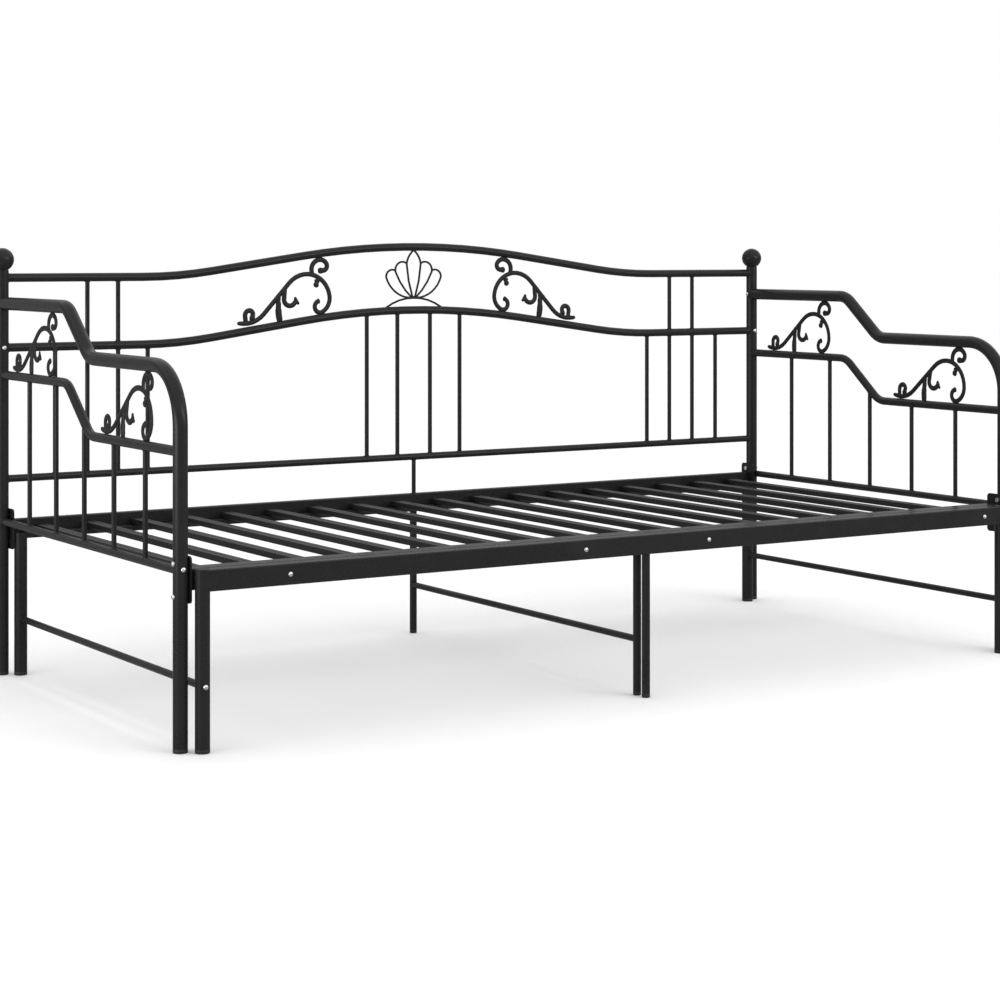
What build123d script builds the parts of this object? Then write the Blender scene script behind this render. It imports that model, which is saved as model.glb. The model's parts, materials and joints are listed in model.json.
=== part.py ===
from build123d import *
import os
from math import copysign, cos, radians, sin

# A metal daybed frame whose front half slides out to make a double bed.
# Millimetres. +X runs along the bed, -Y is the open front, +Y the back panel, +Z is up.

# ---- Driving dimensions -------------------------------------------------------------------
# overall places
post_x = 1030.0            # half the distance between the left and right posts
post_y = 464.6             # half the distance between a back post and its front leg
post_top = 877.0           # top of a back post, under its ball

# tubes and rods
post_od = 28.0             # posts, arms, front legs and the pull-out's corner legs
post_wall = 1.5
panel_od = 19.0            # the arched rails and the wavy side tubes
panel_wall = 1.2
lower_od = 16.0            # straight lower rails of the panels
spindle_od = 10.0
centre_leg_od = 17.0
stretcher_od = 14.0
thin_wall = 1.2

# back panel
top_rail_z = 860.2         # arched rails, height at the posts
middle_rail_z = 708.5
back_lower_z = 424.0
arch_rise = 68.0
arch_slope = 8.3           # degrees, steepest part of the arch
crown_radius = 2080.0
foot_radius = 1157.0
full_spindles = (833.7, 761.0)          # reach the top rail
short_spindles = (909.0, 689.8, 128.7, 45.2)

# side panels
arm_high_z = 804.7
arm_low_z = 705.0
wave_high_z = 650.2
step_middle_y = 25.0       # middle of the step in the arm and in the wavy tube
step_slope = 39.0
step_radius = 60.0
front_bend_radius = 110.0
side_lower_z = 332.3
side_spindle_count = 5
side_spindle_pitch = 151.2
side_spindle_middle_y = -3.4

# bed rails and slats
rail_height = 40.0
rail_middle_z = 316.0
rail_wall = 1.5
back_rail_depth = 20.0
fixed_bar_depth = 40.0
fixed_bar_behind = 14.6    # middle of the fixed bar, behind the front legs
rail_corner = 2.0
rear_gap = 2.0             # between the pull-out's rear legs and the back rail
pull_rail_depth = 30.0
slat_size = 12.8
slat_wall = 1.2
slat_corner = 1.6
slat_pairs = 18
slat_pitch = 111.2
slat_gap = 0.9             # between a fixed slat and the sliding slat beside it
window_play = 0.9          # round a sliding slat where it passes through the fixed bar

# pull-out
leg_gap = 5.0              # along the bed, between a pull-out leg and the leg beside it
front_leg_ahead = 24.5     # its front legs, in front of the bed's front legs
rear_leg_ahead = 24.1      # its rear legs, in front of the posts
side_stretcher_z = 122.4
centre_stretcher_z = 115.8
tie_bar_depth = 20.0
tie_bar_height = 12.4
tie_corner = 1.5
slide_play = 1.0           # tie bar under the fixed slats
pull_seam_x = -26.0
pull_joiner_x = -3.0
pull_joiner_length = 340.0
pull_bolts_x = (-824.0, -158.0, 152.0, 934.0)

# corner plates, feet and fasteners
plate_past_rail = 23.5     # above and below the bed rail
plate_depth = 50.0
plate_thick = 3.0
plate_corner = 8.0
front_plate_ahead = 4.0    # middle of a plate, in front of its rail's
rear_plate_ahead = 6.0
centre_leg_ahead = 8.0     # front centre leg, in front of the fixed bar's middle
cap_height = 8.0
cap_plug = 14.0
cap_play = 0.15
cap_edge = 1.5
slat_cap_lip = 2.0
slat_cap_plug = 12.0
finial_d = 50.8
finial_sink = 3.0          # the ball's lowest point, below the post's rim
finial_neck = 4.0
finial_neck_step = 3.0     # neck inside the post's outline, all round
finial_plug = 20.0
bolt_d = 6.0
bolt_head_d = 10.0
bolt_head_h = 3.6
bolt_hole_play = 0.2
nut_width = 10.0
nut_thick = 4.0
nut_play = 0.05
corner_bolt_past_rail = 10.2
corner_bolt_short = 0.5    # a corner bolt ends this far inside its nut
panel_bolt_length = 10.0
rail_bolt_short = 5.0      # a rail bolt ends this far inside the rail's back
stretcher_grip = 10.0      # bolt beyond a pull-out leg, in the stretcher
joiner_play = 0.2
joiner_wall = 1.5
joiner_corner = 1.0
back_joiner_length = 160.0
fixed_joiner_gap = 3.0     # between the fixed bar's joiner and the nearest windows
cut_past = 1.0             # how far a cut runs past the face it opens

# decoration
scroll_width = 10.6        # a scroll's stroke, seen from the front
scroll_thick = 5.6         # the casting is flat on both faces
scroll_tail_tilt = 7.4     # degrees, the back scrolls follow the arch
back_scroll_x = 250.4      # where a back scroll's lower curl rests
back_scroll_z = 775.0
scroll_pivot = (33.0, 4.5)              # lowest point of the big curl on the flat drawing
rear_scroll_ahead = 319.6  # start of a rear side scroll, in front of the post
front_scroll_behind = 122.6
wire_od = 5.0

# ---- Sizes that follow from those ---------------------------------------------------------
post_r = post_od / 2
panel_r = panel_od / 2
arm_drop = arm_high_z - arm_low_z
rail_top = rail_middle_z + rail_height / 2
rail_bottom = rail_middle_z - rail_height / 2
slat_bottom = rail_middle_z - slat_size / 2
plate_height = rail_height + 2 * plate_past_rail
pull_leg_x = post_x - post_od - leg_gap
pull_leg_y = post_y + front_leg_ahead
rear_leg_y = post_y - rear_leg_ahead
pull_front = -pull_leg_y - post_r
pull_rail_y = pull_front + pull_rail_depth / 2
fixed_bar_y = -post_y + fixed_bar_behind
fixed_bar_back = fixed_bar_y + fixed_bar_depth / 2
centre_leg_y = fixed_bar_y - centre_leg_ahead
back_rail_y = rear_leg_y + post_r + rear_gap + back_rail_depth / 2
back_rail_front = back_rail_y - back_rail_depth / 2
plate_inside = post_x - post_r - plate_thick
front_limit = pull_front - bolt_head_h
rear_limit = post_y + finial_d / 2
centre_y = (front_limit + rear_limit) / 2
slat_step = (slat_size + slat_gap) / 2
fixed_joiner_half = slat_pitch / 2 - slat_size - slat_gap - window_play - fixed_joiner_gap
side_scroll_starts = (post_y - rear_scroll_ahead, front_scroll_behind - post_y)

back_plane = Plane(origin=(0, post_y, 0), x_dir=(1, 0, 0), z_dir=(0, -1, 0))


def side_plane(x):
    """Drawing plane of a side panel: across it is +Y, up it is +Z."""
    return Plane(origin=(x, 0, 0), x_dir=(0, 1, 0), z_dir=(1, 0, 0))


# ---- Shape helpers ------------------------------------------------------------------------
def bent_line(start, heading, moves):
    """Straight runs (a length) and tangent bends (radius, degrees), drawn on the flat."""
    edges = []
    point = Vector(*start)
    for move in moves:
        ahead = Vector(1, 0, 0).rotate(Axis.Z, heading)
        if isinstance(move, tuple):
            radius, turn = move
            centre = point + ahead.rotate(Axis.Z, copysign(90, turn)) * radius
            spoke = point - centre
            end = centre + spoke.rotate(Axis.Z, turn)
            edges.append(ThreePointArc(point, centre + spoke.rotate(Axis.Z, turn / 2), end))
            heading += turn
        else:
            end = point + ahead * move
            edges.append(Line(point, end))
        point = end
    return Wire(edges)


def swept_bar(path, diameter):
    """A round bar along a path."""
    start = Plane(origin=path @ 0, z_dir=path % 0)
    return sweep(start * Circle(diameter / 2), path=path)


def bent_tube(path, od, wall):
    """A bent tube and the solid bar of its outside, which trims what butts against it."""
    bar = swept_bar(path, od)
    return bar - swept_bar(path, od - 2 * wall), bar


def rod(start, end, diameter):
    """A straight round bar between two points."""
    along = Vector(*end) - Vector(*start)
    return Plane(origin=start, z_dir=along) * extrude(Circle(diameter / 2), along.length)


def tube(start, end, od, wall):
    """A straight round tube between two points."""
    return rod(start, end, od) - rod(start, end, od - 2 * wall)


def box_bar(x0, x1, y, z, depth, height):
    """A square bar along X, centred on y and z."""
    return Pos((x0 + x1) / 2, y, z) * Box(x1 - x0, depth, height)


def box_tube(x0, x1, y, z, depth, height, wall, corner=rail_corner):
    """A rectangular tube along X with rounded long edges."""
    bar = box_bar(x0, x1, y, z, depth, height)
    bar = fillet(bar.edges().filter_by(Axis.X), corner)
    return bar - box_bar(x0, x1, y, z, depth - 2 * wall, height - 2 * wall)


def lowest(shape):
    """The lowest separate piece of a trimmed shape."""
    return shape.solids().sort_by(Axis.Z)[0]


def both_sides(shape):
    """A shape and its mirror image on the other end of the bed."""
    return [shape, mirror(shape, Plane.YZ)]


def bolt(at, outward, length):
    """A dome-headed bolt: `at` is on the surface under its head."""
    dome_r = (bolt_head_d ** 2 / 4 + bolt_head_h ** 2) / (2 * bolt_head_h)
    cap = Pos(0, 0, bolt_head_h - dome_r) * Sphere(dome_r)
    head = cap & (Pos(0, 0, bolt_head_h / 2) * Cylinder(bolt_head_d / 2, bolt_head_h))
    shank = Pos(0, 0, -length / 2) * Cylinder(bolt_d / 2, length)
    return Plane(origin=at, z_dir=outward) * (head + shank)


def bolt_hole(at, outward, length):
    """The clearance hole of a bolt, from its head's seat inwards."""
    inward = Vector(*outward) * -length
    end = Vector(*at) + inward
    return rod(at, (end.X, end.Y, end.Z), bolt_d + 2 * bolt_hole_play)


def nut(at, outward):
    """A hexagon nut, `at` on its seat."""
    body = extrude(RegularPolygon(nut_width / 2, 6, major_radius=False), nut_thick)
    body -= extrude(Circle(bolt_d / 2 + nut_play), nut_thick)
    return Plane(origin=at, z_dir=outward) * body


def foot_cap(x, y, od, wall):
    """A plastic glide pushed into the end of a leg."""
    plug_r = od / 2 - wall - cap_play
    disc = Pos(0, 0, cap_height / 2) * Cylinder(od / 2, cap_height)
    disc = fillet(disc.edges().group_by(Axis.Z)[0], cap_edge)
    plug = Pos(0, 0, cap_height + cap_plug / 2) * Cylinder(plug_r, cap_plug)
    return Pos(x, y, 0) * (disc + plug)


# ---- Posts and side panels ----------------------------------------------------------------
def post_bar():
    """The outside of the right-hand back post."""
    return rod((post_x, post_y, cap_height), (post_x, post_y, post_top), post_od)


def back_post():
    """Right-hand back post, drilled for the bolts that hold it together."""
    post = tube((post_x, post_y, cap_height), (post_x, post_y, post_top), post_od, post_wall)
    for z in corner_bolt_heights():
        post -= rod((plate_inside, post_y, z), (post_x + post_od, post_y, z),
                    bolt_d + 2 * bolt_hole_play)
    for at, outward, length in rear_post_bolts():
        post -= bolt_hole(at, outward, length)
    return post


def finial():
    """Ball on the right-hand post, with a neck that plugs the tube."""
    rim = (post_x, post_y, post_top)
    ball = Pos(post_x, post_y, post_top + finial_d / 2 - finial_sink) * Sphere(finial_d / 2)
    neck = rod(rim, (post_x, post_y, post_top + finial_neck), post_od - 2 * finial_neck_step)
    plug_d = post_od - 2 * post_wall - 2 * cap_play
    plug = rod((post_x, post_y, post_top - finial_plug), rim, plug_d)
    keep = Pos(post_x, post_y, post_top + finial_d) * Box(finial_d * 2, finial_d * 2, finial_d * 2)
    return (ball & keep) + neck + plug


def step_moves(start_y, drop):
    """From the post forwards: level, down the step, level to start of what follows."""
    bend_rise = step_radius * (1 - cos(radians(step_slope)))
    slope_length = (drop - 2 * bend_rise) / sin(radians(step_slope))
    half_run = step_radius * sin(radians(step_slope)) + slope_length * cos(radians(step_slope)) / 2
    level = start_y - step_middle_y - half_run
    moves = [level, (step_radius, step_slope), slope_length, (step_radius, -step_slope)]
    return moves, step_middle_y - half_run


def arm_path():
    """One tube: arm rest, front bend and front leg."""
    moves, low_start = step_moves(post_y, arm_drop)
    bend_start = -post_y + front_bend_radius
    leg = arm_low_z - front_bend_radius - cap_height
    moves += [low_start - bend_start, (front_bend_radius, 90), leg]
    return side_plane(post_x) * bent_line((post_y, arm_high_z), 180, moves)


def wave_path():
    """Wavy tube under the arm, with the same step."""
    moves, low_start = step_moves(post_y, arm_drop)
    moves += [low_start + post_y]
    return side_plane(post_x) * bent_line((post_y, wave_high_z), 180, moves)


def corner_bolt_heights():
    """Two bolts through each leg, above and below the bed rail's middle."""
    half = rail_height / 2 + corner_bolt_past_rail
    return (rail_middle_z - half, rail_middle_z + half)


def arm_frame():
    """Right-hand arm and front leg, and the bar of its outside."""
    hollow, bar = bent_tube(arm_path(), post_od, post_wall)
    hollow -= post_bar()
    for z in corner_bolt_heights():
        hollow -= rod((plate_inside, -post_y, z), (post_x + post_od, -post_y, z),
                      bolt_d + 2 * bolt_hole_play)
    for at, outward, length in rear_post_bolts() + [front_leg_bolt()]:
        hollow -= bolt_hole(at, outward, length)
    return hollow, bar


def side_spindles(wave_bar, lower_bar):
    """Upright rods between the lower rail and the wavy tube."""
    rods = []
    for number in range(side_spindle_count):
        steps = number - (side_spindle_count - 1) / 2
        y = side_spindle_middle_y + steps * side_spindle_pitch
        upright = rod((post_x, y, side_lower_z), (post_x, y, wave_high_z), spindle_od)
        rods.append(lowest(upright - wave_bar - lower_bar))
    return Compound(rods)


# ---- Scrolls and palmette -----------------------------------------------------------------
def scroll():
    """Cast vine, drawn on the flat: the big curl at the left, the tail at the right."""
    strokes = [
        ((37, 31), -15, [(13.7, -185), (36, -70), (60, -90), (64, -40), 97, (66, 50), 12]),
        ((46, 95), 90, [9, (23, 90), (20, 60), (11, 150)]),
        ((121, 70), -78, [22, (15, -145), 9]),
        ((136, 57), -92, [(150, 18)]),
        ((230, 8), 90, [15, (11.5, 90), (9, 130)]),
        ((29, 84), -58, [19]),
    ]
    vine = None
    for start, heading, moves in strokes:
        path = bent_line(start, heading, moves)
        piece = swept_bar(path, scroll_width)
        piece += Pos(path @ 0) * Sphere(scroll_width / 2)
        piece += Pos(path @ 1) * Sphere(scroll_width / 2)
        vine = piece if vine is None else vine + piece
    return vine & Box(post_x, post_x, scroll_thick)


def back_scroll(flat_scroll, rails):
    """Left-hand scroll of the back panel, tail outwards and tilted with the arch."""
    curl = Pos(-scroll_pivot[0], -scroll_pivot[1], 0) * flat_scroll
    turned = Rot(0, 0, scroll_tail_tilt) * mirror(curl, Plane.YZ)
    placed = back_plane * (Pos(-back_scroll_x, back_scroll_z, 0) * turned)
    for rail in rails:
        placed -= rail
    return max(placed.solids(), key=lambda piece: piece.volume)


def side_scroll(flat_scroll, start_y, rest_z, tubes):
    """A scroll standing on the wavy tube of the right-hand panel."""
    placed = side_plane(post_x) * (Pos(start_y, rest_z, 0) * flat_scroll)
    for neighbour in tubes:
        placed -= neighbour
    return max(placed.solids(), key=lambda piece: piece.volume)


def palmette(rails):
    """Five wire petals on a shallow arc, in the middle of the back panel."""
    knot = (0, 806)
    left_arcs = [
        ((-76, 783), (-40, 800), (0, 805.5)),
        ((-3, 806), (-15, 852), (-19.5, 888)),
        ((-19.5, 888), (-13, 906), (1, 922)),
        ((-5, 806), (-33, 837), (-50, 868)),
        ((-50, 868), (-42, 889), (-20, 889)),
        ((-9, 806), (-55, 824), (-76, 856)),
        ((-76, 856), (-66, 872), (-50, 871)),
    ]
    outline = Pos(*knot) * Circle(wire_od)
    for start, middle, end in left_arcs:
        outline += trace(ThreePointArc(start, middle, end), wire_od)
        outline += Pos(*end) * Circle(wire_od / 2)
    half = outline & (Pos(-post_x / 2, top_rail_z) * Rectangle(post_x, post_x))
    placed = back_plane * extrude(half + mirror(half, Plane.YZ), wire_od / 2, both=True)
    for rail in rails:
        placed -= rail
    return max(placed.solids(), key=lambda piece: piece.volume)


# ---- Back panel ---------------------------------------------------------------------------
def arch_path(end_z):
    """Arched rail from post to post: level ends, two slopes and a long round crown."""
    slope = radians(arch_slope)
    bends_rise = (crown_radius + foot_radius) * (1 - cos(slope))
    slope_length = (arch_rise - bends_rise) / sin(slope)
    half_run = (crown_radius + foot_radius) * sin(slope) + slope_length * cos(slope)
    level = post_x - half_run
    moves = [level, (foot_radius, arch_slope), slope_length, (crown_radius, -2 * arch_slope)]
    moves += [slope_length, (foot_radius, arch_slope), level]
    return back_plane * bent_line((-post_x, end_z), 0, moves)


def between_posts(shape):
    """Trim a rail's ends to the round of both posts."""
    for post in both_sides(post_bar()):
        shape -= post
    return shape


def back_spindles(lower_bar, middle_bar, top_bar):
    """Rods under the middle rail, and the short lengths that go on up to the top rail."""
    under = []
    over = []
    for x in full_spindles + short_spindles:
        for side in (-1, 1):
            upright = rod((side * x, post_y, back_lower_z),
                          (side * x, post_y, middle_rail_z + arch_rise), spindle_od)
            under.append(lowest(upright - lower_bar - middle_bar))
    for x in full_spindles:
        for side in (-1, 1):
            upright = rod((side * x, post_y, middle_rail_z),
                          (side * x, post_y, top_rail_z), spindle_od)
            over.append(lowest(upright - middle_bar - top_bar))
    return Compound(under), Compound(over)


# ---- Fixed bed frame ----------------------------------------------------------------------
def pair_middles():
    """X of the middle of each pair of slats."""
    first = -(slat_pairs - 1) / 2 * slat_pitch
    return [first + number * slat_pitch for number in range(slat_pairs)]


def slat(x, y0, y1):
    """One square slat tube along Y."""
    middle = Pos(x, (y0 + y1) / 2, rail_middle_z)
    bar = middle * Box(slat_size, y1 - y0, slat_size)
    bar = fillet(bar.edges().filter_by(Axis.Y), slat_corner)
    inside = slat_size - 2 * slat_wall
    return bar - middle * Box(inside, y1 - y0, inside)


def fixed_slats():
    """The slats that stay, from the fixed bar to the back rail."""
    slats = [slat(x + slat_step, fixed_bar_back, back_rail_front) for x in pair_middles()]
    return Compound(slats)


def rail_half(x0, x1, y, depth):
    """Half a bed rail."""
    return box_tube(x0, x1, y, rail_middle_z, depth, rail_height, rail_wall)


def rail_joiner(middle_x, length, y, depth):
    """The sleeve inside a rail that joins its two halves."""
    inside_depth = depth - 2 * rail_wall - 2 * joiner_play
    inside_height = rail_height - 2 * rail_wall - 2 * joiner_play
    return box_tube(middle_x - length / 2, middle_x + length / 2, y, rail_middle_z,
                    inside_depth, inside_height, joiner_wall, corner=joiner_corner)


def slat_windows():
    """Openings in the fixed bar that the sliding slats run through."""
    size = slat_size + 2 * window_play
    through = fixed_bar_depth + 2 * cut_past
    windows = [Pos(x - slat_step, fixed_bar_y, rail_middle_z) * Box(size, through, size)
               for x in pair_middles()]
    return Compound(windows)


def corner_plate(y):
    """End plate on the inner side of a right-hand leg."""
    middle = Pos(post_x - post_r - plate_thick / 2, y, rail_middle_z)
    plate = middle * Box(plate_thick, plate_depth, plate_height)
    plate = fillet(plate.edges().filter_by(Axis.X), plate_corner)
    return plate


def drilled_plate(y, bolt_y):
    """Corner plate with its two bolt holes."""
    plate = corner_plate(y)
    for z in corner_bolt_heights():
        plate -= rod((plate_inside - cut_past, bolt_y, z), (post_x, bolt_y, z),
                     bolt_d + 2 * bolt_hole_play)
    return plate


def centre_leg(y, top=rail_bottom):
    """Round leg under the middle of a rail."""
    return tube((0, y, cap_height), (0, y, top), centre_leg_od, thin_wall)


# ---- Pull-out frame -----------------------------------------------------------------------
def pull_leg(y, top):
    """Right-hand corner leg of the pull-out and the bar of its outside."""
    foot = (pull_leg_x, y, cap_height)
    head = (pull_leg_x, y, top)
    return tube(foot, head, post_od, post_wall), rod(foot, head, post_od)


def pull_leg_bolt(y, outward_y):
    """Bolt through a right-hand pull-out leg into the end of its stretcher."""
    seat = (pull_leg_x, y + outward_y * post_r, side_stretcher_z)
    return seat, (0, outward_y, 0), post_od + stretcher_grip


def sliding_slats():
    """The slats that move, from the pull-out's front rail to past its tie bar."""
    front = pull_rail_y + pull_rail_depth / 2
    rear = rear_leg_y + tie_bar_depth / 2
    return Compound([slat(x - slat_step, front, rear) for x in pair_middles()])


def slat_end_caps():
    """Black plastic plugs in the rear ends of the sliding slats."""
    rear = rear_leg_y + tie_bar_depth / 2
    inside = slat_size - 2 * slat_wall - 2 * cap_play
    caps = []
    for x in pair_middles():
        lip = Box(slat_size, slat_cap_lip, slat_size)
        plug = Box(inside, slat_cap_plug, inside)
        caps.append(Pos(x - slat_step, rear + slat_cap_lip / 2, rail_middle_z) * lip
                    + Pos(x - slat_step, rear - slat_cap_plug / 2, rail_middle_z) * plug)
    return Compound(caps)


# ---- Fasteners ----------------------------------------------------------------------------
def rear_post_bolts():
    """Bolts in the right-hand post that hold the arched rail and the arm."""
    front_face = (post_x, post_y - post_r, middle_rail_z)
    inner_face = (post_x - post_r, post_y, arm_high_z)
    return [(front_face, (0, -1, 0), panel_bolt_length),
            (inner_face, (-1, 0, 0), panel_bolt_length)]


def front_leg_bolt():
    """Bolt in the front of the right-hand front leg, beside the bed rail."""
    return (post_x, -post_y - post_r, rail_top), (0, -1, 0), panel_bolt_length


def corner_fasteners():
    """Two bolts and nuts through each leg and its corner plate."""
    bolts = []
    nuts = []
    length = post_od + plate_thick + nut_thick - corner_bolt_short
    for y in (-post_y, post_y):
        for z in corner_bolt_heights():
            seat = (post_x + post_r, y, z)
            bolts += both_sides(bolt(seat, (1, 0, 0), length))
            nuts += both_sides(nut((plate_inside, y, z), (-1, 0, 0)))
    return Compound(bolts), Compound(nuts)


def panel_bolts():
    """Short bolts of the posts and front legs."""
    bolts = []
    for at, outward, length in rear_post_bolts() + [front_leg_bolt()]:
        bolts += both_sides(bolt(at, outward, length))
    return Compound(bolts)


# ---- Assembly -----------------------------------------------------------------------------
nodes = {}


def keep_pair(name, shape):
    """Store a right-hand piece and its mirror image."""
    nodes[name + "_right"] = shape
    nodes[name + "_left"] = mirror(shape, Plane.YZ)


def build_side_panels(flat_scroll):
    """Posts, arms and side panels."""
    keep_pair("back_post", back_post())
    nodes["ball_finials"] = Compound(both_sides(finial()))
    arm, arm_bar = arm_frame()
    keep_pair("arm_frame", arm)
    wave, wave_bar = bent_tube(wave_path(), panel_od, panel_wall)
    keep_pair("side_wave_tube", wave - post_bar() - arm_bar)
    lower_bar = rod((post_x, -post_y, side_lower_z), (post_x, post_y, side_lower_z), lower_od)
    lower = tube((post_x, -post_y, side_lower_z), (post_x, post_y, side_lower_z), lower_od, thin_wall)
    keep_pair("side_lower_rail", lower - post_bar() - arm_bar)
    keep_pair("side_spindles", side_spindles(wave_bar, lower_bar))
    rests = (wave_high_z + panel_r, wave_high_z - arm_drop + panel_r)
    for label, start_y, rest_z in zip(("rear", "front"), side_scroll_starts, rests):
        keep_pair("side_scroll_" + label,
                  side_scroll(flat_scroll, start_y, rest_z, (wave_bar, arm_bar)))


def build_back_panel(flat_scroll):
    """Arched rails, lower rail, spindles and decoration."""
    top, top_bar = bent_tube(arch_path(top_rail_z), panel_od, panel_wall)
    middle, middle_bar = bent_tube(arch_path(middle_rail_z), panel_od, panel_wall)
    nodes["back_top_rail"] = between_posts(top)
    nodes["back_middle_rail"] = between_posts(middle)
    ends = ((-post_x, post_y, back_lower_z), (post_x, post_y, back_lower_z))
    lower_bar = rod(*ends, lower_od)
    nodes["back_lower_rail"] = between_posts(tube(*ends, lower_od, thin_wall))
    under, over = back_spindles(lower_bar, middle_bar, top_bar)
    nodes["back_spindles"] = under
    nodes["back_upper_spindles"] = over
    drop = rod((0, post_y, rail_top), (0, post_y, back_lower_z), spindle_od)
    nodes["back_drop_rod"] = drop - lower_bar
    curl = back_scroll(flat_scroll, (top_bar, middle_bar))
    nodes["back_scroll_left"] = curl
    nodes["back_scroll_right"] = mirror(curl, Plane.YZ)
    nodes["back_palmette"] = palmette((top_bar, middle_bar))


def build_bed_frame():
    """Rails, slats, plates and middle legs that stay."""
    seam_halves = ((-plate_inside, 0, "left"), (0, plate_inside, "right"))
    for x0, x1, side in seam_halves:
        nodes["back_rail_" + side] = rail_half(x0, x1, back_rail_y, back_rail_depth)
        bar = rail_half(x0, x1, fixed_bar_y, fixed_bar_depth)
        nodes["fixed_bar_" + side] = bar - slat_windows()
    nodes["back_rail_joiner"] = rail_joiner(0, back_joiner_length, back_rail_y, back_rail_depth)
    nodes["fixed_bar_joiner"] = rail_joiner(0, 2 * fixed_joiner_half, fixed_bar_y, fixed_bar_depth)
    nodes["fixed_slats"] = fixed_slats()
    keep_pair("corner_plate_front", drilled_plate(fixed_bar_y - front_plate_ahead, -post_y))
    keep_pair("corner_plate_rear", drilled_plate(back_rail_y - rear_plate_ahead, post_y))
    rear_leg = centre_leg(back_rail_y)
    front_leg = centre_leg(centre_leg_y)
    nodes["centre_leg_back"] = rear_leg
    nodes["centre_leg_front"] = front_leg
    ends = ((0, centre_leg_y, centre_stretcher_z), (0, back_rail_y, centre_stretcher_z))
    stretcher = tube(*ends, stretcher_od, thin_wall)
    for y in (centre_leg_y, back_rail_y):
        stretcher -= rod((0, y, cap_height), (0, y, rail_bottom), centre_leg_od)
    nodes["centre_stretcher"] = stretcher
    nodes["corner_bolts"], nodes["corner_nuts"] = corner_fasteners()
    nodes["panel_bolts"] = panel_bolts()
    caps = [foot_cap(post_x, y, post_od, post_wall) for y in (-post_y, post_y)]
    nodes["foot_caps"] = Compound([half for cap in caps for half in both_sides(cap)])
    centre_caps = [foot_cap(0, y, centre_leg_od, thin_wall) for y in (centre_leg_y, back_rail_y)]
    nodes["centre_foot_caps"] = Compound(centre_caps)


def build_pull_out():
    """Everything that slides forwards."""
    front_leg, front_bar = pull_leg(-pull_leg_y, rail_top)
    rear_leg, rear_bar = pull_leg(rear_leg_y, slat_bottom - slide_play)
    front_bolt = pull_leg_bolt(-pull_leg_y, -1)
    rear_bolt = pull_leg_bolt(rear_leg_y, 1)
    keep_pair("pull_leg_front", front_leg - bolt_hole(*front_bolt))
    keep_pair("pull_leg_rear", rear_leg - bolt_hole(*rear_bolt))
    ends = ((pull_leg_x, -pull_leg_y, side_stretcher_z), (pull_leg_x, rear_leg_y, side_stretcher_z))
    keep_pair("pull_stretcher", tube(*ends, stretcher_od, thin_wall) - front_bar - rear_bar)

    rail_bolts = [((x, pull_front, rail_middle_z), (0, -1, 0), pull_rail_depth - rail_bolt_short)
                  for x in pull_bolts_x]
    joiner = rail_joiner(pull_joiner_x, pull_joiner_length, pull_rail_y, pull_rail_depth)
    halves = ((-pull_leg_x, pull_seam_x, "left"), (pull_seam_x, pull_leg_x, "right"))
    rails = {side: rail_half(x0, x1, pull_rail_y, pull_rail_depth) for x0, x1, side in halves}
    for place in rail_bolts:
        joiner -= bolt_hole(*place)
        rails = {side: rail - bolt_hole(*place) for side, rail in rails.items()}
    nodes["pull_rail_left"] = rails["left"] - mirror(front_bar, Plane.YZ)
    nodes["pull_rail_right"] = rails["right"] - front_bar
    nodes["pull_rail_joiner"] = joiner
    nodes["pull_centre_leg"] = centre_leg(-pull_leg_y)

    tie_z = slat_bottom - slide_play - tie_bar_height / 2
    tie = box_tube(-pull_leg_x, pull_leg_x, rear_leg_y, tie_z, tie_bar_depth, tie_bar_height,
                   thin_wall, corner=tie_corner)
    for leg in both_sides(rear_bar):
        tie -= leg
    nodes["pull_tie_bar"] = tie
    nodes["sliding_slats"] = sliding_slats()
    nodes["slat_end_caps"] = slat_end_caps()
    nodes["pull_rail_bolts"] = Compound([bolt(*place) for place in rail_bolts])
    stretcher_bolts = both_sides(bolt(*front_bolt)) + both_sides(bolt(*rear_bolt))
    nodes["pull_leg_bolts"] = Compound(stretcher_bolts)
    caps = [foot_cap(pull_leg_x, y, post_od, post_wall) for y in (-pull_leg_y, rear_leg_y)]
    nodes["pull_foot_caps"] = Compound([half for cap in caps for half in both_sides(cap)])
    nodes["pull_centre_cap"] = foot_cap(0, -pull_leg_y, centre_leg_od, thin_wall)


def main():
    """Build every node, centre the bed on its origin and write one file for each."""
    flat_scroll = scroll()
    build_side_panels(flat_scroll)
    build_back_panel(flat_scroll)
    build_bed_frame()
    build_pull_out()
    os.makedirs("parts", exist_ok=True)
    for name, shape in nodes.items():
        export_step(Pos(0, -centre_y, 0) * shape, "parts/" + name + ".step")
    print(len(nodes), "nodes; the origin is moved", round(centre_y, 2), "mm along Y")


main()
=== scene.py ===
# %% [markdown]
# A trundle bed is welded from thin steel tube, so the tubes carry the whole look. They come
# from the CAD frame with their true sizes and bends and are kept as they are. This lesson
# gives them a powder coat, and models the small things that a tube drawing leaves plain:
# the cast scrolls, the wire palmette, the ball finials, bolts, plastic caps and weld beads.

# %% Load the frame
import cmath
import json
import math

import bpy
import numpy as np
from mathutils import Matrix, Vector

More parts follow.
